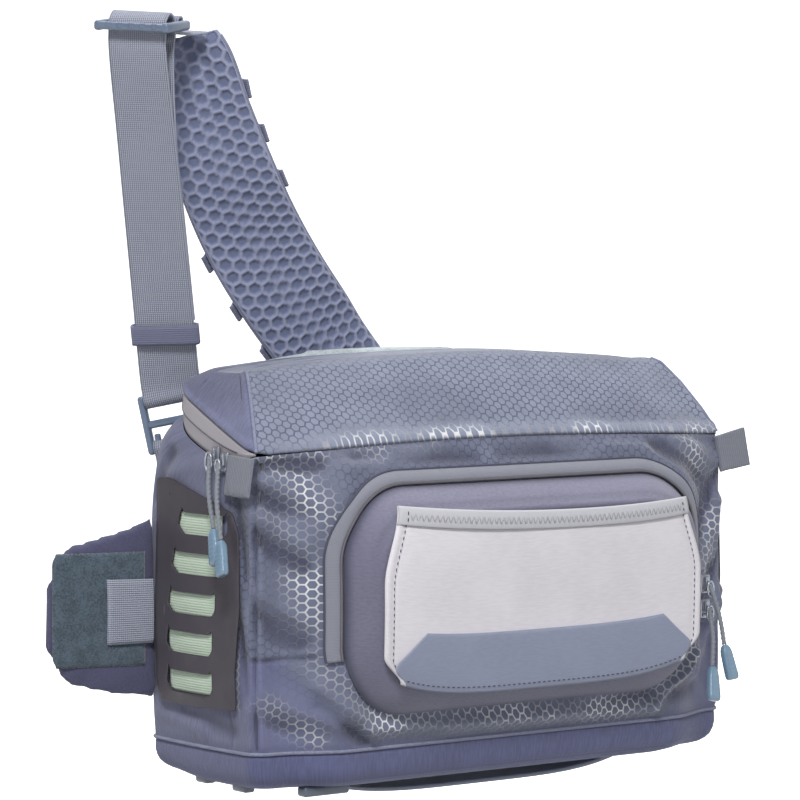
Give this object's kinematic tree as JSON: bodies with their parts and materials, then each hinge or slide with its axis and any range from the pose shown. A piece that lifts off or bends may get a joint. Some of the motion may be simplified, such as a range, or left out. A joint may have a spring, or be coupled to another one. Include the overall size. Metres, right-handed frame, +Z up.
{
  "type": "fishing tackle sling bag",
  "caption": "One-shoulder tackle bag with a domed zip lid, a moulded front pocket, slotted side panels, hip wings and a padded sling strap.",
  "frame": {"origin": "underside of the ladder lock's middle at the top of the sling, where the bag hangs", "axes": "+X across the bag to the viewer's right seen from the front, the front pocket faces -Y, +Z up"},
  "size_m": [0.5132, 0.21, 0.4857],
  "materials": {
    "hex_fabric": "woven with a hexagon grid, matte",
    "plain_fabric": "plain weave, matte",
    "zip_tape": "coated zip tape, matte",
    "moulded_fabric": "moulded foam-backed fabric, matte",
    "slip_fabric": "smooth woven, matte",
    "binding": "ribbed binding tape",
    "patch_fabric": "coated woven, matte",
    "back_mesh": "soft spacer mesh",
    "panel_sheet": "matte cut sheet",
    "mint_webbing": "ribbed webbing",
    "wing_fabric": "plain weave, matte",
    "loop_fabric": "loop pile",
    "webbing": "ribbed webbing",
    "band_webbing": "flat woven tape",
    "strap_mesh": "open hexagon spacer mesh",
    "buckle_plastic": "satin moulded",
    "slider_metal": "plated",
    "pull_cord": "braided",
    "grip_rubber": "translucent satin"
  },
  "bodies": {
    "root": {"body_shell": "hex_fabric", "base_boot": "plain_fabric", "lid": "hex_fabric", "lid_zip": "zip_tape", "pocket_shell": "moulded_fabric", "pocket_zip": "zip_tape", "slip_pocket": "slip_fabric", "slip_band": "binding", "slip_patch": "patch_fabric", "back_pad": "back_mesh", "side_panel_left": "panel_sheet", "side_panel_right": "panel_sheet", "side_webbing_left": "mint_webbing", "side_webbing_right": "mint_webbing", "hip_wing_left": "wing_fabric", "hip_wing_right": "wing_fabric", "loop_patch_left": "loop_fabric", "loop_patch_right": "loop_fabric", "belt_tab_left": "webbing", "belt_tab_right": "webbing", "pull_tab_left": "webbing", "pull_tab_right": "webbing", "strap_pad": "strap_mesh", "strap_band_1": "band_webbing", "strap_band_2": "band_webbing", "strap_band_3": "band_webbing", "strap_band_4": "band_webbing", "strap_band_5": "band_webbing", "strap_band_6": "band_webbing", "strap_band_7": "band_webbing", "strap_webbing": "webbing", "strap_pad_loop": "webbing", "strap_keeper": "band_webbing", "ladder_lock": "buckle_plastic", "lower_buckle": "buckle_plastic", "anchor_webbing": "webbing", "zip_slider_1": "slider_metal", "zip_slider_2": "slider_metal", "zip_slider_3": "slider_metal", "zip_slider_4": "slider_metal", "zip_cord_1": "pull_cord", "zip_cord_2": "pull_cord", "zip_cord_3": "pull_cord", "zip_cord_4": "pull_cord", "zip_grip_1": "grip_rubber", "zip_grip_2": "grip_rubber", "zip_grip_3": "grip_rubber", "zip_grip_4": "grip_rubber", "base_strap": "band_webbing"}
  },
  "joints": []
}
